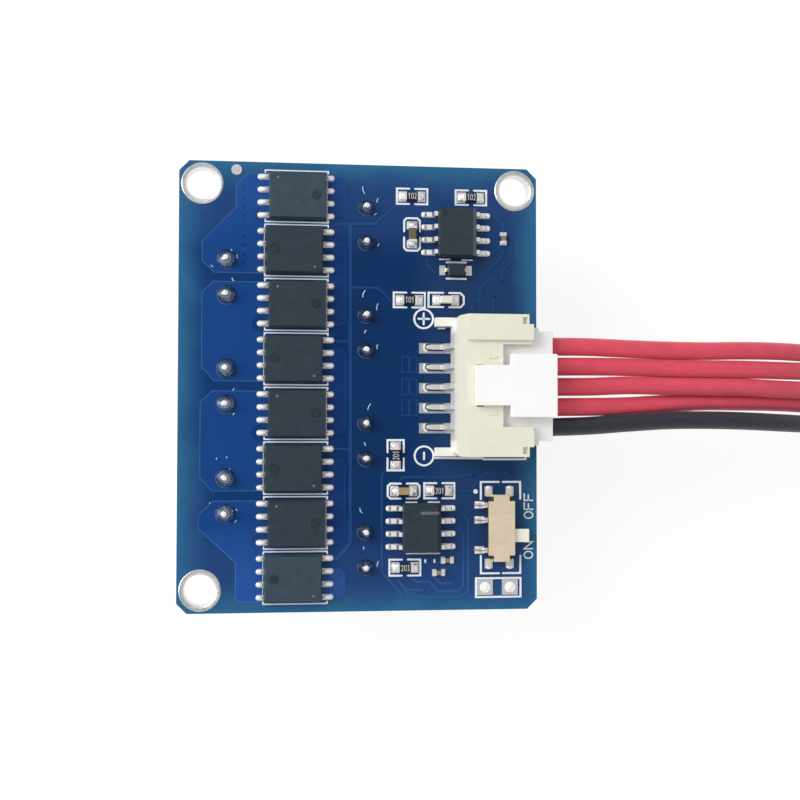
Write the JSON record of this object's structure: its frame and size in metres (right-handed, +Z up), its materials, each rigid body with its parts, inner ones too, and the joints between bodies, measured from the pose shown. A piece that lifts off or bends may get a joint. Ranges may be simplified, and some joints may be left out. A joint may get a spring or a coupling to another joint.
{
  "type": "battery balancer",
  "caption": "Bare circuit board cell balancer: a row of power chips, control chips and a slide switch on its face, capacitors on its back, and a latched plug with loose wires.",
  "frame": {"origin": "on the ground under the middle of the board", "axes": "+X towards the wire plug, +Y along the row of power chips, +Z up out of the board's face"},
  "size_m": [0.1127, 0.0489, 0.0193],
  "materials": {
    "board_mask": "blue solder mask over glass fibre board",
    "tinned_metal": "bright tin plating",
    "solder": "reflowed solder",
    "chip_mould": "matt black moulding compound",
    "resistor_glass": "black glass coat on ceramic",
    "chip_ceramic": "fired ceramic",
    "led_white": "white moulded base",
    "led_clear": "clear epoxy lens",
    "header_plastic": "ivory heat-proof nylon",
    "plug_plastic": "white nylon",
    "contact_metal": "tinned phosphor bronze",
    "wire_red": "red silicone rubber",
    "wire_black": "black silicone rubber",
    "tie_plastic": "black tie",
    "switch_plastic": "black moulded base",
    "switch_sheet": "bare sheet metal",
    "knob_plastic": "cream nylon",
    "can_aluminium": "drawn aluminium",
    "seal_rubber": "black rubber"
  },
  "bodies": {
    "module": {"circuit_board": "board_mask", "solder_pads": "tinned_metal", "hole_rings": "tinned_metal", "power_chip_1": "chip_mould", "power_chip_2": "chip_mould", "power_chip_3": "chip_mould", "power_chip_4": "chip_mould", "power_chip_5": "chip_mould", "power_chip_6": "chip_mould", "power_chip_7": "chip_mould", "power_chip_8": "chip_mould", "power_chip_leads": "tinned_metal", "driver_chip": "chip_mould", "driver_chip_leads": "tinned_metal", "timer_chip": "chip_mould", "timer_chip_leads": "tinned_metal", "resistor_1": "resistor_glass", "resistor_2": "resistor_glass", "resistor_3": "resistor_glass", "resistor_4": "resistor_glass", "resistor_5": "resistor_glass", "resistor_6": "resistor_glass", "ceramic_capacitor_1": "chip_ceramic", "ceramic_capacitor_2": "chip_ceramic", "small_chips": "chip_ceramic", "chip_end_caps": "tinned_metal", "led_base": "led_white", "led_lens": "led_clear", "diode": "chip_mould", "diode_leads": "tinned_metal", "header_housing": "header_plastic", "header_pins": "tinned_metal", "header_anchors": "tinned_metal", "plug_housing": "plug_plastic", "plug_contacts": "contact_metal", "wire_1": "wire_red", "wire_2": "wire_red", "wire_3": "wire_red", "wire_4": "wire_red", "wire_5": "wire_black", "wire_coil": "wire_red", "coil_tie": "tie_plastic", "switch_base": "switch_plastic", "switch_cover": "switch_sheet", "switch_terminals": "tinned_metal", "can_1": "can_aluminium", "can_2": "can_aluminium", "can_3": "can_aluminium", "can_4": "can_aluminium", "can_5": "can_aluminium", "can_6": "can_aluminium", "can_7": "can_aluminium", "can_seals": "seal_rubber", "can_leads": "tinned_metal", "solder_joints": "solder"},
    "slider": {"switch_slider": "knob_plastic", "switch_contact": "contact_metal"}
  },
  "joints": [
    {"name": "switch_slide", "type": "slide", "parent": "module", "child": "slider", "axis": [0, 1, 0], "range_m": [0, 0.0015]}
  ]
}
